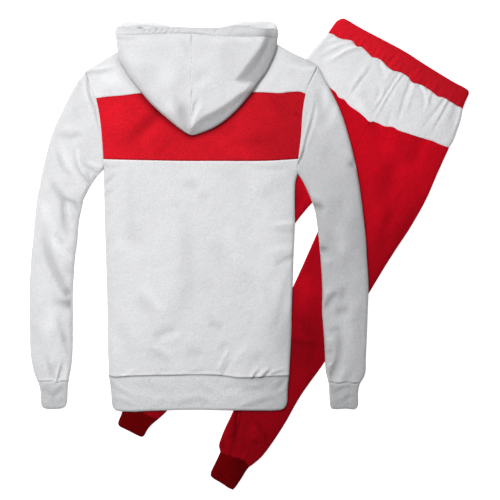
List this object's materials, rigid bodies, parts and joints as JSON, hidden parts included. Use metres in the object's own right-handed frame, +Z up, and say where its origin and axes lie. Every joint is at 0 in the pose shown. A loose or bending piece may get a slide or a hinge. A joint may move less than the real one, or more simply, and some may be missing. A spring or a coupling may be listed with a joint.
{
  "type": "tracksuit",
  "caption": "Hooded fleece top and matching jogging trousers laid out flat, back up, the top lying partly over the trousers. White with a red back band, red legs and ribbed cuffs.",
  "frame": {"origin": "the surface it lies on, under the centre of the whole set's bounding box", "axes": "+Z up, the way its layers are stacked; +Y towards the hood, +X from the top towards the trousers' waist"},
  "size_m": [0.8808, 0.9448, 0.0213],
  "materials": {
    "white_fleece": "matt, fine nap",
    "white_rib": "matt rib knit",
    "red_fleece": "matt, fine nap",
    "red_rib": "matt rib knit"
  },
  "bodies": {
    "root": {"hoodie_front": "white_fleece", "hoodie_yoke": "white_fleece", "hoodie_band": "red_fleece", "hoodie_back": "white_fleece", "hem_band": "white_rib", "sleeve_left": "white_fleece", "sleeve_right": "white_fleece", "cuff_left": "white_rib", "cuff_right": "white_rib", "hood_left": "white_fleece", "hood_right": "white_fleece", "hood_casing": "white_fleece", "waistband": "red_fleece", "pants_yoke": "white_fleece", "pants_back_left": "red_fleece", "pants_back_right": "red_fleece", "pants_front_left": "red_fleece", "pants_front_right": "red_fleece", "ankle_cuff_left": "red_rib", "ankle_cuff_right": "red_rib"}
  },
  "joints": []
}
